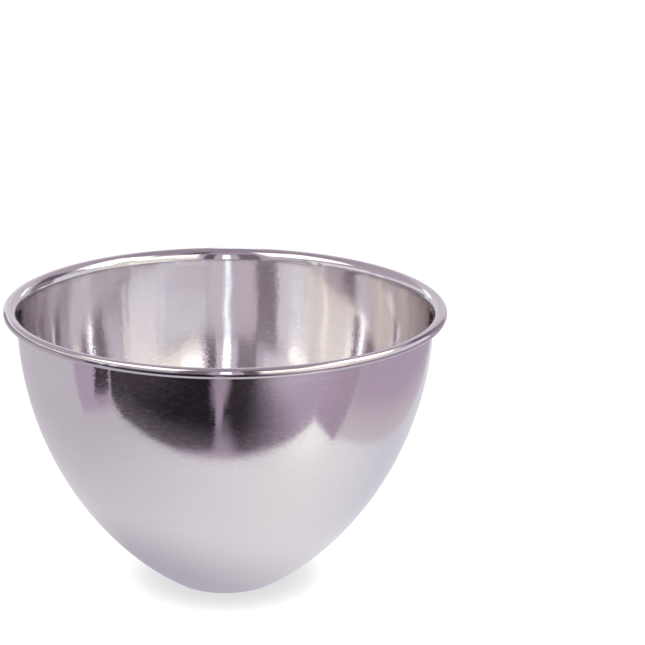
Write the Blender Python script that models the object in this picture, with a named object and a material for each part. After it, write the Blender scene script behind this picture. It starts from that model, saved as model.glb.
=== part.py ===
"""Deep stainless mixing bowl: one spun sheet with a rolled rim, and the steel
wire ring that the rim is rolled around.

Metres, +Z up. The origin is the centre of the flat base, on the surface that
the bowl stands on, and +Z is the axis the bowl was spun about.
"""

import math

import bmesh
import bpy
from mathutils import Vector

# ---------------------------------------------------------------- dimensions
RIM_OUTER_R = 0.1500      # outside of the rolled rim
HEIGHT = 0.1987           # base to top of the rim
SHEET = 0.0010            # gauge of the stainless sheet

BASE_R = 0.0389           # inside radius where the flat base meets the wall
BASE_ANGLE = math.radians(33.5)   # wall's slope as it leaves the base
BASE_FILLET = 0.0040      # inside radius of that crease

WALL_TOP_R = 0.1400       # inside radius where the wall stands upright
WALL_PULL_LOW = 0.0660    # how far the wall runs on at its base slope
WALL_PULL_HIGH = 0.0825   # how far it runs down upright from its top

BEAD_R = 0.00345          # outside radius of the rolled rim's round
FLARE_RISE = 0.0087       # height over which the wall turns out into the rim
CURL_TURN = math.radians(270.0)   # turn of the sheet round the wire

WIRE_R = 0.0021           # wire inside the roll

SEGMENTS = 64             # facets around the bowl
WALL_STEPS = 13
FLARE_STEPS = 5
CURL_STEPS = 12
FILLET_STEPS = 3
WIRE_SIDES = 10

BEAD_CENTRE = (RIM_OUTER_R - BEAD_R, HEIGHT - BEAD_R)


# ------------------------------------------------------------------- profile
def bezier(p0, p1, p2, p3, t):
    u = 1.0 - t
    return tuple(
        u * u * u * a + 3 * u * u * t * b + 3 * u * t * t * c + t * t * t * d
        for a, b, c, d in zip(p0, p1, p2, p3)
    )


def base_points():
    """Flat floor of the bowl, out to the fillet, and the fillet itself."""
    tangent = BASE_FILLET * math.tan(BASE_ANGLE / 2)
    start = BASE_R - tangent
    points = [(0.0, SHEET), (start, SHEET)]
    for i in range(1, FILLET_STEPS + 1):
        a = BASE_ANGLE * i / FILLET_STEPS
        points.append(
            (start + BASE_FILLET * math.sin(a),
             SHEET + BASE_FILLET * (1 - math.cos(a)))
        )
    return points


def wall_points(start):
    """One swept curve from the fillet up to where the wall is upright."""
    top = (WALL_TOP_R, HEIGHT - FLARE_RISE)
    low = (start[0] + WALL_PULL_LOW * math.cos(BASE_ANGLE),
           start[1] + WALL_PULL_LOW * math.sin(BASE_ANGLE))
    high = (top[0], top[1] - WALL_PULL_HIGH)
    return [bezier(start, low, high, top, i / WALL_STEPS)
            for i in range(1, WALL_STEPS + 1)]


def flare_points():
    """Quarter ellipse that turns the wall out, level at the top of the rim."""
    cx = BEAD_CENTRE[0]
    cz = HEIGHT - FLARE_RISE
    out = []
    for i in range(1, FLARE_STEPS + 1):
        a = math.pi / 2 * i / FLARE_STEPS
        out.append((cx - (cx - WALL_TOP_R) * math.cos(a),
                    cz + FLARE_RISE * math.sin(a)))
    return out


def curl_points():
    """The roll: over the outside, under, and up again inside the rim."""
    out = []
    for i in range(1, CURL_STEPS + 1):
        a = math.pi / 2 - CURL_TURN * i / CURL_STEPS
        out.append((BEAD_CENTRE[0] + BEAD_R * math.cos(a),
                    BEAD_CENTRE[1] + BEAD_R * math.sin(a)))
    return out


def sheet_profile():
    points = base_points()
    points += wall_points(points[-1])
    points += flare_points()
    points += curl_points()
    return points


# ------------------------------------------------------------------ modelling
def spun(bm, points, closed):
    """Turn a profile in the XZ plane about Z into a surface of facets."""
    verts = [bm.verts.new((r, 0.0, z)) for r, z in points]
    pairs = list(zip(verts, verts[1:]))
    if closed:
        pairs.append((verts[-1], verts[0]))
    edges = [bm.edges.new(p) for p in pairs]
    bmesh.ops.spin(
        bm, geom=verts + edges, cent=(0, 0, 0), axis=(0, 0, 1),
        angle=2 * math.pi, steps=SEGMENTS, use_merge=True,
    )
    bmesh.ops.remove_doubles(bm, verts=bm.verts[:], dist=1e-6)
    bmesh.ops.dissolve_degenerate(bm, edges=bm.edges[:], dist=1e-7)
    bmesh.ops.recalc_face_normals(bm, faces=bm.faces[:])


def steel(name, colour, roughness):
    mat = bpy.data.materials.new(name)
    mat.use_nodes = True
    shader = mat.node_tree.nodes["Principled BSDF"]
    shader.inputs["Base Color"].default_value = (*colour, 1.0)
    shader.inputs["Metallic"].default_value = 1.0
    shader.inputs["Roughness"].default_value = roughness
    return mat


def add_object(name, bm, mat, parent):
    mesh = bpy.data.meshes.new(name)
    bm.to_mesh(mesh)
    bm.free()
    mesh.shade_smooth()
    mesh.set_sharp_from_angle(angle=math.radians(40))
    mesh.materials.append(mat)
    obj = bpy.data.objects.new(name, mesh)
    obj.parent = parent
    bpy.context.scene.collection.objects.link(obj)
    return obj


def bowl_shell(parent):
    """The sheet's inner face is turned, and its gauge is added behind it."""
    bm = bmesh.new()
    spun(bm, sheet_profile(), closed=False)
    bm.faces.ensure_lookup_table()
    floor = min(bm.faces, key=lambda f: f.calc_center_median().xy.length)
    if floor.normal.dot(Vector((0, 0, 1))) < 0:
        bmesh.ops.reverse_faces(bm, faces=bm.faces[:])
    obj = add_object(
        "bowl_shell", bm,
        steel("brushed_stainless", (0.62, 0.60, 0.63), 0.28), parent)
    gauge = obj.modifiers.new("sheet_gauge", "SOLIDIFY")
    gauge.thickness = SHEET
    gauge.offset = -1.0
    gauge.use_even_offset = True
    gauge.use_quality_normals = True
    gauge.use_rim = True
    return obj


def rim_wire(parent):
    """Round wire ring lying in the roll, clear of the sheet all round."""
    bm = bmesh.new()
    ring = [
        (BEAD_CENTRE[0] + WIRE_R * math.cos(2 * math.pi * i / WIRE_SIDES),
         BEAD_CENTRE[1] + WIRE_R * math.sin(2 * math.pi * i / WIRE_SIDES))
        for i in range(WIRE_SIDES)
    ]
    spun(bm, ring, closed=True)
    return add_object(
        "rim_wire", bm,
        steel("drawn_steel_wire", (0.50, 0.49, 0.48), 0.38), parent)


def main():
    for obj in list(bpy.data.objects):
        bpy.data.objects.remove(obj, do_unlink=True)
    bowl = bpy.data.objects.new("bowl", None)
    bpy.context.scene.collection.objects.link(bowl)
    bowl_shell(bowl)
    rim_wire(bowl)


main()
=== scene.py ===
"""Looks of the mixing bowl: spun stainless shell with a rolled, wired rim.

Metres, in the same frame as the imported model: origin at the centre of the
flat base, +Z up.
"""

import math

import bpy
import numpy as np
from mathutils import Matrix, Vector


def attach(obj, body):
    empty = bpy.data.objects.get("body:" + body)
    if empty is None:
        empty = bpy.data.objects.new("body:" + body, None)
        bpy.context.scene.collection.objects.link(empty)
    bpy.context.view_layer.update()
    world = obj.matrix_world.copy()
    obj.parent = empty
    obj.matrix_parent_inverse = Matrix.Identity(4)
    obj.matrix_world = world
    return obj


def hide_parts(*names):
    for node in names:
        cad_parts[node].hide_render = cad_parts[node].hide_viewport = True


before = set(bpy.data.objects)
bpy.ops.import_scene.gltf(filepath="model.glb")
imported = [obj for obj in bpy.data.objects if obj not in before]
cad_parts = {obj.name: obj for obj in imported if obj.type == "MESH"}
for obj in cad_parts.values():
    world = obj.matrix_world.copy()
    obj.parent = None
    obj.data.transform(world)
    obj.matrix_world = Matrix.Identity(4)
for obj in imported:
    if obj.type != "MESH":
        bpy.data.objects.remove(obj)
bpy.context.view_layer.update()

scene = bpy.context.scene

# ------------------------------------------------------------------ dimensions
RIM_OUTER_R = 0.1500
HEIGHT = 0.1987
SHEET = 0.0010
BASE_R = 0.0389
BASE_ANGLE = math.radians(33.5)
BASE_FILLET = 0.0040
WALL_TOP_R = 0.1400
WALL_PULL_LOW = 0.0660
WALL_PULL_HIGH = 0.0825
BEAD_R = 0.00345
FLARE_RISE = 0.0087
CURL_TURN = math.radians(270.0)
WIRE_R = 0.0021
BEAD_CR = RIM_OUTER_R - BEAD_R
BEAD_CZ = HEIGHT - BEAD_R

AROUND = 320          # facets round the shell


# --------------------------------------------------------------------- profile
def sheet_profile():
    """Inner face of the sheet from the axis to the cut edge, with its normals
    (pointing away from the metal) worked out from each curve."""
    pts, nrm = [], []

    def put(r, z, nr, nz):
        pts.append((r, z))
        nrm.append((nr, nz))

    tangent = BASE_FILLET * math.tan(BASE_ANGLE / 2)
    flat = BASE_R - tangent
    steps = 12
    for i in range(steps + 1):
        put(flat * i / steps, SHEET, 0.0, 1.0)
    for i in range(1, 9):
        a = BASE_ANGLE * i / 8
        put(flat + BASE_FILLET * math.sin(a),
            SHEET + BASE_FILLET * (1 - math.cos(a)),
            -math.sin(a), math.cos(a))
    p0 = np.array(pts[-1])
    p1 = p0 + WALL_PULL_LOW * np.array([math.cos(BASE_ANGLE), math.sin(BASE_ANGLE)])
    p3 = np.array([WALL_TOP_R, HEIGHT - FLARE_RISE])
    p2 = p3 - np.array([0.0, WALL_PULL_HIGH])
    steps = 74
    for i in range(1, steps + 1):
        t = i / steps
        u = 1 - t
        p = u**3 * p0 + 3 * u * u * t * p1 + 3 * u * t * t * p2 + t**3 * p3
        d = u * u * (p1 - p0) + 2 * u * t * (p2 - p1) + t * t * (p3 - p2)
        d /= np.linalg.norm(d)
        put(p[0], p[1], -d[1], d[0])
    rx = BEAD_CR - WALL_TOP_R
    steps = 16
    for i in range(1, steps + 1):
        a = math.pi / 2 * i / steps
        n = np.array([-math.cos(a) / rx, math.sin(a) / FLARE_RISE])
        n /= np.linalg.norm(n)
        put(BEAD_CR - rx * math.cos(a),
            HEIGHT - FLARE_RISE + FLARE_RISE * math.sin(a), n[0], n[1])
    steps = 34
    for i in range(1, steps + 1):
        a = math.pi / 2 - CURL_TURN * i / steps
        put(BEAD_CR + BEAD_R * math.cos(a), BEAD_CZ + BEAD_R * math.sin(a),
            math.cos(a), math.sin(a))
    return np.array(pts), np.array(nrm)


def out_of_true(theta, z):
    """How far the spun wall strays from a perfect turning: long, shallow
    waves of a few hundredths of a millimetre that fade out at rim and base."""
    fade = np.clip((z - 0.012) / 0.035, 0, 1) * np.clip((HEIGHT - 0.011 - z) / 0.030, 0, 1)
    fade = fade * fade * (3 - 2 * fade)
    waves = (
        (0.090, 2, 0.9, 9.0), (0.060, 3, 2.1, 14.0), (0.040, 5, 4.4, 31.0),
        (0.028, 7, 0.4, -47.0), (0.022, 9, 3.3, 62.0), (0.018, 13, 1.7, -88.0),
        (0.014, 19, 5.1, 115.0), (0.010, 27, 2.6, -150.0),
    )
    d = np.zeros(np.broadcast(theta, z).shape)
    for amp, m, phase, kz in waves:
        d = d + amp * np.sin(m * theta + phase + kz * z)
    return d * fade * 1e-3


def turned_mesh(name, loop, theta, offset, closed, material):
    """Mesh of a profile turned about Z, with its map unrolled: the angle
    across, the run along the profile up. A profile point on the axis becomes
    one vertex. offset is the (r, z) shift per angle and point, or None."""
    n_p, n_t = len(loop), len(theta)
    r = np.repeat(loop[None, :, 0], n_t, 0)
    z = np.repeat(loop[None, :, 1], n_t, 0)
    if offset is not None:
        r = r + offset[..., 0]
        z = z + offset[..., 1]
    step = np.linalg.norm(np.diff(np.concatenate([loop, loop[:1]]), axis=0), axis=1)
    run = np.concatenate([[0], np.cumsum(step)])
    total = run[-1] if closed else run[-2]
    run = 0.005 + 0.99 * run / total
    angle = np.concatenate([theta, [2 * math.pi]]) / (2 * math.pi)
    angle = 0.005 + 0.99 * angle

    verts, index = [], np.zeros((n_t, n_p), int)
    for i in range(n_p):
        if loop[i, 0] < 1e-9:
            index[:, i] = len(verts)
            verts.append((0.0, 0.0, float(loop[i, 1])))
            continue
        for j in range(n_t):
            index[j, i] = len(verts)
            verts.append((float(r[j, i] * math.cos(theta[j])),
                          float(r[j, i] * math.sin(theta[j])), float(z[j, i])))
    faces, uvs = [], []
    last = n_p if closed else n_p - 1
    for j in range(n_t):
        k = (j + 1) % n_t
        for i in range(last):
            m = (i + 1) % n_p
            corners = ((index[j, i], (angle[j], run[i])), (index[k, i], (angle[j + 1], run[i])),
                       (index[k, m], (angle[j + 1], run[i + 1])), (index[j, m], (angle[j], run[i + 1])))
            if index[j, i] == index[k, i]:
                corners = ((index[j, i], ((angle[j] + angle[j + 1]) / 2, run[i])),) + corners[2:]
            elif index[j, m] == index[k, m]:
                corners = corners[:2] + ((index[j, m], ((angle[j] + angle[j + 1]) / 2, run[i + 1])),)
            faces.append([int(c[0]) for c in corners])
            uvs.extend(c[1] for c in corners)
    mesh = bpy.data.meshes.new(name)
    mesh.from_pydata(verts, [], faces)
    layer = mesh.uv_layers.new(name="OFBake")
    layer.data.foreach_set("uv", np.array(uvs, np.float32).ravel())
    mesh.shade_smooth()
    mesh.set_sharp_from_angle(angle=math.radians(50))
    mesh.materials.append(material)
    obj = bpy.data.objects.new(name, mesh)
    scene.collection.objects.link(obj)
    return obj


# ------------------------------------------------------------------- node help
class Nodes:
    """Short hand for building a node tree."""

    def __init__(self, tree):
        self.tree = tree
        tree.nodes.clear()

    def add(self, kind, **props):
        node = self.tree.nodes.new(kind)
        for k, v in props.items():
            setattr(node, k, v)
        return node

    def link(self, a, b):
        self.tree.links.new(a, b)

    def put(self, socket, value):
        if hasattr(value, "is_linked"):
            self.link(value, socket)
        else:
            socket.default_value = value

    def math(self, op, *values, clamp=False):
        node = self.add("ShaderNodeMath", operation=op, use_clamp=clamp)
        for s, v in zip(node.inputs, values):
            self.put(s, v)
        return node.outputs[0]

    def vmath(self, op, *values):
        node = self.add("ShaderNodeVectorMath", operation=op)
        for s, v in zip(node.inputs, values):
            self.put(s, v)
        return node.outputs["Value"] if op in ("LENGTH", "DOT_PRODUCT") else node.outputs["Vector"]

    def ramp(self, value, lo, hi, to_lo=0.0, to_hi=1.0, smooth=True):
        node = self.add("ShaderNodeMapRange")
        node.interpolation_type = "SMOOTHSTEP" if smooth else "LINEAR"
        node.clamp = True
        for s, v in zip(node.inputs, (value, lo, hi, to_lo, to_hi)):
            self.put(s, v)
        return node.outputs[0]

    def mix(self, fac, a, b):
        node = self.add("ShaderNodeMix", data_type="RGBA")
        self.put(node.inputs[0], fac)
        self.put(node.inputs[6], a)
        self.put(node.inputs[7], b)
        return node.outputs[2]

    def blend(self, fac, a, b):
        node = self.add("ShaderNodeMix", data_type="FLOAT")
        self.put(node.inputs[0], fac)
        self.put(node.inputs[2], a)
        self.put(node.inputs[3], b)
        return node.outputs[0]

    def noise(self, vector, detail=2.0, rough=0.5, scale=1.0):
        node = self.add("ShaderNodeTexNoise", noise_dimensions="3D")
        self.link(vector, node.inputs["Vector"])
        node.inputs["Scale"].default_value = scale
        node.inputs["Detail"].default_value = detail
        node.inputs["Roughness"].default_value = rough
        return node.outputs["Fac"]

    def scale(self, vector, factor):
        node = self.add("ShaderNodeVectorMath", operation="SCALE")
        self.link(vector, node.inputs[0])
        self.put(node.inputs["Scale"], factor)
        return node.outputs["Vector"]

    def split(self, vector):
        node = self.add("ShaderNodeSeparateXYZ")
        self.link(vector, node.inputs[0])
        return node.outputs

    def done(self, shader):
        out = self.add("ShaderNodeOutputMaterial")
        self.link(shader, out.inputs["Surface"])


def new_material(name):
    mat = bpy.data.materials.new(name)
    mat.use_nodes = True
    return mat, Nodes(mat.node_tree)


def turned_coordinates(n):
    """Coordinates of a turned surface: the point, (cos, sin) of the angle
    round the axis, the radius, the height, and the run along the profile."""
    obj = n.add("ShaderNodeTexCoord").outputs["Object"]
    flat = n.vmath("MULTIPLY", obj, (1.0, 1.0, 0.0))
    radius = n.vmath("LENGTH", flat)
    around = n.vmath("NORMALIZE", flat)
    height = n.split(obj)[2]
    run = n.math("ADD", height, n.math("MULTIPLY", radius, 0.7))
    return obj, around, radius, height, run


def stretched(n, around, run, turns, fine):
    """Noise coordinates with long grain round the axis and fine grain across."""
    up = n.add("ShaderNodeCombineXYZ")
    n.link(n.math("MULTIPLY", run, fine), up.inputs[2])
    scaled = n.vmath("MULTIPLY", around, (turns, turns, 0.0))
    return n.vmath("ADD", scaled, up.outputs[0])


# ------------------------------------------------------------------- materials
def brushed_stainless():
    mat, n = new_material("brushed_stainless")
    obj, around, radius, height, run = turned_coordinates(n)

    normal = n.add("ShaderNodeNewGeometry").outputs["Normal"]
    # the rolled rim is buffed, and its steel is given a darker colour than the wall's: painted shade
    rim_buffed_and_shaded = n.ramp(height, HEIGHT - 0.0105, HEIGHT - 0.0060)

    # grain of the finish: short lines round the axis, in three widths
    fine = n.noise(stretched(n, around, run, 46.0, 2900.0), detail=2.0, rough=0.60)
    mid = n.noise(stretched(n, around, run, 24.0, 1350.0), detail=2.0, rough=0.55)
    lean = n.noise(stretched(n, around, run, 85.0, 1500.0), detail=2.0, rough=0.55)
    broad = n.noise(stretched(n, around, run, 2.0, 240.0), detail=1.0, rough=0.50)
    # stray scratches
    stray = n.noise(stretched(n, around, run, 30.0, 1100.0), detail=1.0, rough=0.5)
    stray = n.ramp(stray, 0.68, 0.82)
    # handling marks, soft and large, and places where the finish is worn
    smudge = n.noise(obj, detail=3.0, rough=0.55, scale=16.0)
    smudge = n.ramp(smudge, 0.42, 0.70)
    worn = n.noise(obj, detail=2.0, rough=0.5, scale=26.0)
    worn = n.ramp(worn, 0.36, 0.66, 0.45, 1.5)
    worn = n.math("MULTIPLY", worn, n.math("SUBTRACT", 1.0, n.math("MULTIPLY", rim_buffed_and_shaded, 0.92)))

    # cut share: where the grit bit, against the polished lands between
    cut = n.math("ADD", n.math("MULTIPLY", fine, 0.6), n.math("MULTIPLY", mid, 0.4))
    cut = n.ramp(cut, 0.46, 0.70)

    tone = n.math("ADD", n.math("MULTIPLY", mid, 0.6), n.math("MULTIPLY", broad, 0.4))
    colour = n.mix(n.ramp(tone, 0.32, 0.68, smooth=False),
                   (0.752, 0.722, 0.739, 1.0), (0.780, 0.751, 0.767, 1.0))
    colour = n.mix(n.math("MULTIPLY", smudge, 0.22), colour, (0.722, 0.690, 0.708, 1.0))
    # painted shade: the rim's steel darker than the wall's, the same metal made to look shaded
    colour = n.mix(rim_buffed_and_shaded, colour, (0.590, 0.556, 0.580, 1.0))

    rough = n.blend(cut, 0.060, 0.165)
    rough = n.math("ADD", rough, n.math("MULTIPLY", smudge, 0.012))
    rough = n.math("ADD", rough, n.math("MULTIPLY", stray, 0.020))
    rough = n.blend(n.math("MULTIPLY", rim_buffed_and_shaded, 0.9), rough, 0.090)

    # each line leans a little, round the axis and up the wall
    tangent = n.add("ShaderNodeTangent", direction_type="RADIAL", axis="Z").outputs[0]
    upward = n.vmath("CROSS_PRODUCT", normal, tangent)
    lean_a = n.math("MULTIPLY", n.math("MULTIPLY", n.math("SUBTRACT", lean, 0.5), 0.060), worn)
    lean_b = n.math("MULTIPLY", n.math("MULTIPLY", n.math("SUBTRACT", fine, 0.5), 0.045), worn)
    tilt = n.vmath("ADD", n.scale(tangent, lean_a), n.scale(upward, lean_b))
    leaning = n.vmath("NORMALIZE", n.vmath("ADD", normal, tilt))
    bump_h = n.math("MULTIPLY", n.math("SUBTRACT", n.math("MULTIPLY", mid, 0.3), n.math("MULTIPLY", stray, 0.6)), worn)
    bump = n.add("ShaderNodeBump")
    bump.inputs["Strength"].default_value = 0.30
    bump.inputs["Distance"].default_value = 0.000006
    n.link(bump_h, bump.inputs["Height"])
    n.link(leaning, bump.inputs["Normal"])

    bsdf = n.add("ShaderNodeBsdfPrincipled")
    n.link(colour, bsdf.inputs["Base Color"])
    bsdf.inputs["Metallic"].default_value = 1.0
    n.link(rough, bsdf.inputs["Roughness"])
    bsdf.inputs["Anisotropic"].default_value = 1.0
    bsdf.inputs["Anisotropic Rotation"].default_value = 0.25
    n.link(tangent, bsdf.inputs["Tangent"])
    n.link(bump.outputs[0], bsdf.inputs["Normal"])
    n.done(bsdf.outputs[0])
    return mat


def drawn_wire():
    mat, n = new_material("drawn_wire")
    obj, around, radius, height, run = turned_coordinates(n)
    lines = n.noise(stretched(n, around, run, 5.0, 2600.0), detail=2.0, rough=0.6)
    blotch = n.noise(obj, detail=3.0, rough=0.6, scale=60.0)
    colour = n.mix(n.ramp(lines, 0.3, 0.7), (0.42, 0.41, 0.40, 1.0), (0.56, 0.55, 0.54, 1.0))
    colour = n.mix(n.ramp(blotch, 0.55, 0.75), colour, (0.36, 0.34, 0.32, 1.0))
    bsdf = n.add("ShaderNodeBsdfPrincipled")
    n.link(colour, bsdf.inputs["Base Color"])
    bsdf.inputs["Metallic"].default_value = 1.0
    n.link(n.ramp(lines, 0.2, 0.8, 0.30, 0.48, smooth=False), bsdf.inputs["Roughness"])
    bump = n.add("ShaderNodeBump")
    bump.inputs["Strength"].default_value = 0.5
    bump.inputs["Distance"].default_value = 0.00005
    n.link(lines, bump.inputs["Height"])
    n.link(bump.outputs[0], bsdf.inputs["Normal"])
    n.done(bsdf.outputs[0])
    return mat


# ---------------------------------------------------------------------- pieces
def make_shell():
    inner, normal = sheet_profile()
    outer = inner - SHEET * normal
    outer[0, 0] = 0.0
    loop = np.concatenate([inner, outer[::-1]])
    shift = np.concatenate([normal, normal[::-1]])
    theta = np.linspace(0, 2 * math.pi, AROUND, endpoint=False)
    z_mid = np.concatenate([inner[:, 1], inner[::-1, 1]])
    d = out_of_true(theta[:, None], z_mid[None, :])
    offset = d[..., None] * shift[None, :, :]
    return turned_mesh("bowl_shell_spun", loop, theta, offset, False, brushed_stainless())


def make_wire():
    # round wire with the butt of its two ends as a fine groove
    theta = np.concatenate([
        np.linspace(0.0, 0.02, 24, endpoint=False),
        np.linspace(0.02, 2 * math.pi, 240, endpoint=False),
    ])
    a = -np.linspace(0, 2 * math.pi, 20, endpoint=False)
    loop = np.stack([BEAD_CR + WIRE_R * np.cos(a), BEAD_CZ + WIRE_R * np.sin(a)], 1)
    arc = (theta - 0.010) * BEAD_CR
    neck = -0.16 * WIRE_R * np.exp(-(arc / 0.00030) ** 2)
    offset = neck[:, None, None] * np.stack([np.cos(a), np.sin(a)], 1)[None]
    return turned_mesh("rim_wire_drawn", loop, theta, offset, True, drawn_wire())


shell = make_shell()
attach(shell, "root")
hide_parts("bowl_shell")

wire = make_wire()
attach(wire, "root")
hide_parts("rim_wire")


# ----------------------------------------------------------------------- stage
def stage_mesh(name, verts, faces, material):
    mesh = bpy.data.meshes.new(name)
    mesh.from_pydata(verts, [], faces)
    mesh.materials.append(material)
    obj = bpy.data.objects.new(name, mesh)
    scene.collection.objects.link(obj)
    return obj


def only_in_reflections(obj):
    obj.visible_camera = False
    obj.visible_diffuse = False
    obj.visible_shadow = False
    obj.visible_transmission = False


def make_floor():
    """Plain white floor that glows evenly, with a painted soft shadow close under the bowl: the glow dimmed by ambient
    occlusion.
    """
    mat, n = new_material("floor")
    mat.cycles.emission_sampling = "NONE"
    # painted shadow: ambient occlusion from the bowl dims the floor's glow under it
    painted_shadow_occlusion = n.add("ShaderNodeAmbientOcclusion", samples=12)
    painted_shadow_occlusion.inputs["Distance"].default_value = 0.018
    shade = n.ramp(painted_shadow_occlusion.outputs["AO"], 0.2, 1.0, 0.73, 1.02, smooth=False)
    glow = n.add("ShaderNodeEmission")
    n.link(shade, glow.inputs["Strength"])
    n.done(glow.outputs[0])
    s = 8.0
    obj = stage_mesh("floor", [(-s, -s, -0.0002), (s, -s, -0.0002), (s, s, -0.0002), (-s, s, -0.0002)],
                     [(0, 1, 2, 3)], mat)
    obj.visible_glossy = False


def panel(name, az, el, tint, dist, soft):
    """A panel on a sphere round the bowl: from az[0] to az[1] degrees round
    (0 is the camera's side, + to its right) and from el[0] to el[1] degrees up,
    with edges that fade over soft degrees across and up."""
    steps = max(2, int((az[1] - az[0]) / 3))
    rows = max(2, int((el[1] - el[0]) / 4))
    verts, uvs, faces = [], [], []
    for i in range(steps + 1):
        a = math.radians(az[0] + (az[1] - az[0]) * i / steps)
        for k in range(rows + 1):
            e = math.radians(el[0] + (el[1] - el[0]) * k / rows)
            verts.append((dist * math.cos(e) * math.sin(a), -dist * math.cos(e) * math.cos(a),
                          0.16 + dist * math.sin(e)))
            uvs.append((i / steps, k / rows))
    for i in range(steps):
        for k in range(rows):
            p = i * (rows + 1) + k
            faces.append((p, p + rows + 1, p + rows + 2, p + 1))
    mat, n = new_material(name)
    if max(tint) < 2.0:
        mat.cycles.emission_sampling = "NONE"
    uv = n.split(n.add("ShaderNodeUVMap", uv_map="panel").outputs[0])
    su = min(0.49, soft[0] / (az[1] - az[0]))
    sv = min(0.49, soft[1] / (el[1] - el[0]))
    edge = n.math("MULTIPLY",
                  n.math("MULTIPLY", n.ramp(uv[0], 0.0, su), n.ramp(uv[0], 1.0, 1.0 - su)),
                  n.math("MULTIPLY", n.ramp(uv[1], 0.0, sv), n.ramp(uv[1], 1.0, 1.0 - sv)))
    emit = n.add("ShaderNodeEmission")
    emit.inputs["Color"].default_value = (*tint, 1.0)
    clear = n.add("ShaderNodeBsdfTransparent")
    shade = n.add("ShaderNodeMixShader")
    n.link(edge, shade.inputs[0])
    n.link(clear.outputs[0], shade.inputs[1])
    n.link(emit.outputs[0], shade.inputs[2])
    n.done(shade.outputs[0])
    obj = stage_mesh(name, verts, faces, mat)
    layer = obj.data.uv_layers.new(name="panel")
    for loop in obj.data.loops:
        layer.data[loop.index].uv = uvs[loop.vertex_index]
    only_in_reflections(obj)
    return obj


def side_of(n, x, y, p, q, soft):
    """1 on the left of the line from p to q, 0 on its right."""
    dx, dy = q[0] - p[0], q[1] - p[1]
    length = math.hypot(dx, dy)
    a, b = -dy / length, dx / length
    c = -(a * p[0] + b * p[1])
    d = n.math("MULTIPLY_ADD", x, a, n.math("MULTIPLY_ADD", y, b, c))
    return n.ramp(d, -soft, soft)


def zone(n, x, y, corners, soft):
    """1 inside a convex outline (corners anticlockwise), with soft edges. soft
    is one width, or one for each edge."""
    widths = soft if isinstance(soft, (list, tuple)) else [soft] * len(corners)
    mask = None
    for i, p in enumerate(corners):
        m = side_of(n, x, y, p, corners[(i + 1) % len(corners)], widths[i])
        mask = m if mask is None else n.math("MULTIPLY", mask, m)
    return mask


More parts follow.
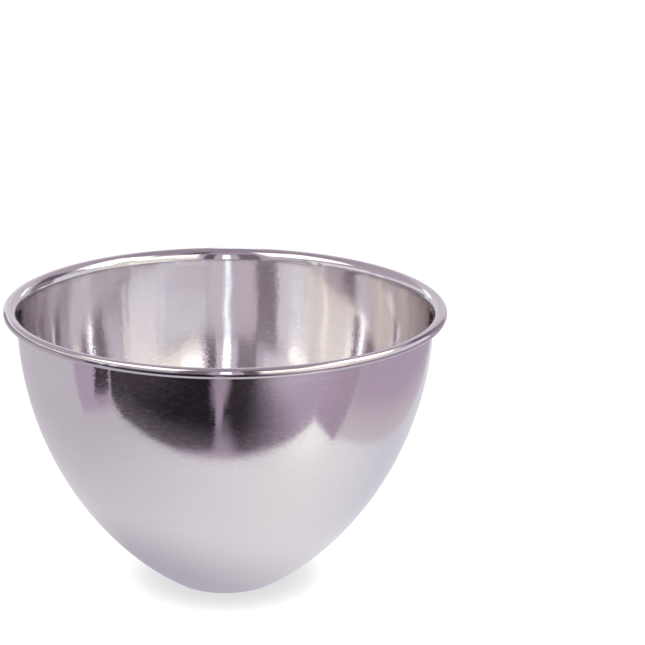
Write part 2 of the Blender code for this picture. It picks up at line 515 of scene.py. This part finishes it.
def make_ground():
    """The studio ground as the steel mirrors it, a glowing plane seen only in reflections: a pale sheet round the base
    with painted light and shade on it, a duller ground beyond the sheet, and dark cards laid in front of it, with a
    painted highlight streak through them."""
    mat, n = new_material("ground")
    mat.cycles.emission_sampling = "NONE"
    place = n.add("ShaderNodeTexCoord").outputs["Object"]
    x, y = n.split(place)[0], n.split(place)[1]
    r = n.math("SQRT", n.math("ADD", n.math("MULTIPLY", x, x), n.math("MULTIPLY", y, y)))

    # the sheet: painted shade darker to the left; darker and cooler behind; and a painted shadow of the bowl round its
    # base
    pale = n.mix(n.ramp(x, -0.34, 0.14), (*SHEET_SHADE, 1.0), (*SHEET_LIGHT, 1.0))
    pale = n.mix(n.math("MULTIPLY", n.ramp(y, -0.16, 0.06), n.ramp(x, 0.02, 0.16)), pale, (*SHEET_COOL, 1.0))
    under = n.vmath("LENGTH", n.vmath("MULTIPLY", n.vmath("ADD", place, (0.028, 0.0, 0.0)), (1.0, 1.0, 0.0)))
    colour = n.mix(n.ramp(under, 0.030, 0.120), (*SHEET_PAINTED_SHADOW, 1.0), pale)
    # a painted pool of light on the sheet at its front right; then duller ground past its edges: right, front and left
    painted_light_patch = n.math("MULTIPLY", n.ramp(x, 0.08, 0.19), n.ramp(y, -0.14, -0.22))
    colour = n.mix(painted_light_patch, colour, (*SHEET_PAINTED_LIGHT, 1.0))
    right = zone(n, x, y, [(0.226, -0.168), (2.5, -0.448), (2.5, 2.5), (0.66, 2.5), (0.279, 0.10)],
                 [0.005, 0.05, 0.05, 0.012, 0.010])
    colour = n.mix(right, colour, n.mix(n.ramp(x, 0.25, 0.46), (*GROUND_LIGHT, 1.0), (*GROUND, 1.0)))
    corner = zone(n, x, y, [(0.227, -0.170), (0.247, -0.277), (2.5, -1.20), (2.5, -0.450)], 0.005)
    deep = zone(n, x, y, [(0.227, -0.170), (0.244, -0.255), (2.5, -0.85), (2.5, -0.450)], [0.005, 0.09, 0.05, 0.005])
    front = zone(n, x, y, [(0.135, -0.249), (0.0, -0.249), (-0.40, -0.218), (-2.5, -0.95), (-2.5, -3.0), (2.5, -3.0), (2.5, -0.79)],
                 [0.008, 0.008, 0.010, 0.05, 0.05, 0.05, 0.006])
    left = zone(n, x, y, [(-0.352, -0.100), (-2.5, -0.080), (-2.5, -0.95), (-0.352, -0.240)],
                [0.006, 0.05, 0.010, 0.010])
    dull = n.math("MAXIMUM", front, left)
    ahead = n.mix(n.math("MULTIPLY", n.ramp(y, -0.36, -0.62), n.ramp(x, 0.04, 0.22)), (*GROUND, 1.0), (*GROUND_AHEAD, 1.0))
    colour = n.mix(n.math("MAXIMUM", dull, corner), colour, ahead)
    colour = n.mix(deep, colour, (*PLUM, 1.0))
    far_right = zone(n, x, y, [(1.30, -1.07), (8.0, -6.6), (8.0, 6.6), (1.30, 1.07)], 0.02)
    colour = n.mix(far_right, colour, (*CREAM, 1.0))
    # dark cards: two in front, overlapping, a small one and one far off to their left; a lighter streak cut through
    # the front cards is a painted highlight, the lamp's streak down the wall
    card = zone(n, x, y, [(-0.19, -0.245), (-0.29, -0.238), (-0.415, -0.262), (-0.57, -0.351), (-1.30, -0.74), (-0.85, -3.0), (0.0, -3.0), (0.0, -0.274)],
                [0.006, 0.006, 0.006, 0.006, 0.05, 0.05, 0.05, 0.010])
    card = n.math("MAXIMUM", card, zone(n, x, y, [(0.132, -0.266), (-0.30, -0.274), (-0.30, -3.0), (0.78, -3.0)],
                                        [0.010, 0.02, 0.05, 0.110]))
    small = zone(n, x, y, [(-0.749, -0.306), (-0.730, -0.4285), (-0.436, -0.2665), (-0.420, -0.222), (-0.440, -0.186)], 0.004)
    far = n.math("MULTIPLY", n.ramp(r, 0.74, 0.84),
                 zone(n, x, y, [(0.0, -0.20), (-8.0, -1.60), (-8.0, -8.0), (0.2, -8.0)], 0.03))
    # painted highlight: the lighter streak through the front cards, widening ahead, with a foot at the sheet's edge
    painted_streak = zone(n, x, y, [(-0.014, -0.20), (-0.053, -0.60), (-0.013, -0.60), (-0.007, -0.20)], 0.004)
    painted_streak_wide = zone(n, x, y, [(-0.046, -0.46), (-0.225, -1.6), (0.150, -1.6), (-0.008, -0.46)], [0.026, 0.010, 0.020, 0.020])
    painted_streak_foot = zone(n, x, y, [(-0.029, -0.40), (0.004, -0.40), (0.022, -0.25), (-0.027, -0.25)], [0.040, 0.022, 0.01, 0.010])
    painted_streak = n.math("MAXIMUM", n.math("MULTIPLY", painted_streak, n.ramp(y, -0.44, -0.30, 0.80, 0.48)), n.math("MULTIPLY", painted_streak_wide, 0.80))
    painted_streak = n.math("MAXIMUM", painted_streak, n.math("MULTIPLY", painted_streak_foot, n.ramp(y, -0.34, -0.29, 0.38, 0.66)))
    card = n.math("MULTIPLY", card, n.math("SUBTRACT", 1.0, painted_streak))
    card = n.math("MAXIMUM", card, n.math("MAXIMUM", small, far))
    shade = n.mix(n.ramp(n.math("ABSOLUTE", n.math("ADD", x, 0.12)), 0.05, 0.34),
                  (*CARD_DEEP, 1.0), (*CARD, 1.0))
    # painted light: the cards lighter towards the sheet's edge, for the sheet's blurred reflection
    shade = n.mix(n.math("MULTIPLY", n.ramp(y, -0.37, -0.275), n.ramp(x, -0.42, -0.34)), shade, (*CARD_PAINTED_GLOW, 1.0))
    colour = n.mix(card, colour, shade)
    # behind, for the views from there
    rear = zone(n, x, y, [(-0.26, 0.62), (0.30, 0.66), (0.70, 2.5), (-0.65, 2.5)], [0.12, 0.10, 0.05, 0.10])
    colour = n.mix(n.math("MULTIPLY", rear, 0.75), colour, (*CARD, 1.0))

    emit = n.add("ShaderNodeEmission")
    n.link(colour, emit.inputs["Color"])
    n.done(emit.outputs[0])
    s = 8.0
    obj = stage_mesh("ground", [(-s, -s, -0.0001), (s, -s, -0.0001), (s, s, -0.0001), (-s, s, -0.0001)],
                     [(0, 1, 2, 3)], mat)
    only_in_reflections(obj)


# the studio's few tints
LAMP = (2.40, 2.62, 2.70)
STRIP = (1.85, 2.10, 2.20)
SHINE = (1.16, 1.20, 1.28)
BOX = (2.5, 2.5, 2.2)
BOX_RIGHT = (2.3, 2.3, 2.0)
GLOW = (10.0, 10.2, 8.7)
LEDGE = (1.72, 1.64, 1.54)
MIST = (0.84, 0.80, 0.88)
WHITE = (1.65, 1.60, 1.51)
WARM = (1.55, 1.50, 1.26)
CREAM = (1.14, 1.10, 1.01)
PALE = (1.03, 1.05, 1.11)
HAZE = (0.90, 0.86, 0.91)
DUSK = (0.82, 0.755, 0.81)
LILAC = (0.51, 0.465, 0.54)
MAUVE = (0.38, 0.325, 0.38)
SKIRT = (0.36, 0.29, 0.32)
SMOKE = (0.62, 0.57, 0.63)
SHADOW = (0.27, 0.225, 0.27)
DARK = (0.19, 0.155, 0.19)
# painted light: a bright patch on the mirrored sheet
SHEET_PAINTED_LIGHT = (1.07, 1.08, 1.06)
SHEET_LIGHT = (0.912, 0.905, 0.922)
# painted shade: the mirrored sheet's darker left side
SHEET_SHADE = (0.625, 0.585, 0.642)
SHEET_COOL = (0.726, 0.722, 0.793)
# painted shadow of the bowl round its base, on the mirrored sheet
SHEET_PAINTED_SHADOW = (0.500, 0.465, 0.550)
GROUND = (0.500, 0.402, 0.511)
PLUM = (0.445, 0.350, 0.445)
GROUND_AHEAD = (0.570, 0.490, 0.595)
GROUND_LIGHT = (0.665, 0.600, 0.640)
CARD = (0.059, 0.046, 0.057)
CARD_DEEP = (0.019, 0.014, 0.019)
# painted light on the cards' edges by the sheet
CARD_PAINTED_GLOW = (0.105, 0.085, 0.105)

make_floor()
make_ground()

# soft boxes, walls and dark cards round the bowl, seen only in the steel:
# degrees round from the camera's side, degrees up, tint, distance, soft edges
for name, az, el, tint, dist, soft in (
    ("strip_lamp", (-3.1, 2.9), (6, 46), LAMP, 0.66, (1.2, 2)),
    ("strip_back", (173.7, 182.7), (16, 30), STRIP, 0.32, (2.2, 3)),
    ("strip_left", (-107, -97.5), (6, 23), SHINE, 1.60, (2.5, 4)),
    ("card_left", (-23.5, -6.5), (-2, 56), SHADOW, 0.80, (3, 6)),
    ("card_left_edge", (-28.5, -21), (-2, 40), SMOKE, 0.82, (3.5, 6)),
    ("card_right", (7.2, 14.7), (-2, 56), DARK, 0.70, (1, 5)),
    ("card_right_top", (13, 38), (50, 76), DARK, 1.60, (3, 3)),
    ("box_right", (15, 31), (17.5, 27), WHITE, 1.68, (2, 2)),
    ("box_right_main", (17, 60), (24, 50), BOX_RIGHT, 1.66, (3, 5)),
    ("box_right_high", (57, 112), (31, 62), BOX_RIGHT, 1.66, (4, 5)),
    ("box_right_low", (30, 60), (-5, 12), WHITE, 1.68, (4, 3)),
    ("glow_right", (74, 99), (27, 60), GLOW, 1.62, (4, 5)),
    ("wall_right", (16, 85), (-5, 30), CREAM, 1.72, (2, 5)),
    ("warm_strip", (55, 63), (4, 26), WARM, 1.62, (2.5, 6)),
    ("wall_back_right", (82, 122), (-4, 24), PALE, 1.70, (4, 4)),
    ("screen_back_right", (117, 146), (-4, 32), MAUVE, 1.60, (5, 5)),
    ("card_back_right", (113, 146), (20, 38), DARK, 1.58, (4, 3)),
    ("wall_back", (143, 182), (-4, 36), DUSK, 1.70, (3, 8)),
    ("wall_back_left", (179, 203), (-4, 36), HAZE, 1.70, (3, 8)),
    ("wall_left", (-159, -51), (-4, 22), PALE, 1.70, (3, 3)),
    ("post_left", (-60, -56.5), (-4, 22), MAUVE, 1.62, (1, 3)),
    ("wall_front_left", (-54, -24), (-4, 34), LILAC, 1.70, (3, 5)),
    ("skirt_left", (-152, -60), (-6, 10.5), SKIRT, 1.64, (4, 2)),
    ("ledge_left", (-98, -49), (19, 25), LEDGE, 1.64, (4, 1.5)),
    ("ledge_front_left", (-51, -22), (16, 30), MIST, 1.64, (4, 1.5)),
    ("box_left", (-96, -26), (37, 74), BOX, 1.62, (4, 6)),
):
    panel(name, az, el, tint, dist, soft)


def make_world():
    world = bpy.data.worlds.new("studio")
    scene.world = world
    world.use_nodes = True
    n = Nodes(world.node_tree)
    path = n.add("ShaderNodeLightPath")
    up = n.split(n.add("ShaderNodeTexCoord").outputs["Generated"])[2]
    tent = n.mix(n.ramp(up, 0.20, 0.55), (0.76, 0.68, 0.76, 1.0), (0.64, 0.55, 0.64, 1.0))
    tent = n.mix(n.ramp(up, 0.70, 0.92), tent, (0.47, 0.40, 0.47, 1.0))
    colour = n.mix(path.outputs["Is Glossy Ray"], (2.0, 2.0, 2.0, 1.0), tent)
    colour = n.mix(path.outputs["Is Camera Ray"], colour, (1.0, 1.0, 1.0, 1.0))
    back = n.add("ShaderNodeBackground")
    n.link(colour, back.inputs["Color"])
    out = n.add("ShaderNodeOutputWorld")
    n.link(back.outputs[0], out.inputs["Surface"])


make_world()


# ---------------------------------------------------------------------- camera
def make_camera():
    dist, elev, azim = 1.2975, math.radians(20.26), math.radians(-0.032)
    yaw, pitch, roll = (math.radians(a) for a in (-2.967, 3.574, -0.084))
    focal_px = 1858.2
    back = Vector((math.sin(azim) * math.cos(elev),
                   -math.cos(azim) * math.cos(elev), math.sin(elev)))
    right = (-back).cross(Vector((0, 0, 1))).normalized()
    up = right.cross(-back)
    basis = Matrix((right, up, back)).transposed()
    turn = Matrix.Rotation(yaw, 3, "Y") @ Matrix.Rotation(pitch, 3, "X") @ Matrix.Rotation(roll, 3, "Z")
    cam = bpy.data.cameras.new("camera")
    cam.sensor_width = 36.0
    cam.lens = 36.0 * focal_px / 645.0
    cam.clip_start, cam.clip_end = 0.05, 50.0
    obj = bpy.data.objects.new("camera", cam)
    obj.matrix_world = Matrix.Translation(Vector((0, 0, HEIGHT / 2)) + dist * back) @ (basis @ turn).to_4x4()
    scene.collection.objects.link(obj)
    scene.camera = obj


make_camera()

scene.view_settings.view_transform = "Standard"
scene.view_settings.look = "None"
scene.view_settings.exposure = 0.0
scene.view_settings.gamma = 1.0
scene.cycles.max_bounces = 14
scene.cycles.glossy_bounces = 10
scene.cycles.diffuse_bounces = 4
scene.cycles.transparent_max_bounces = 24
scene.cycles.caustics_reflective = False
scene.cycles.use_denoising = True
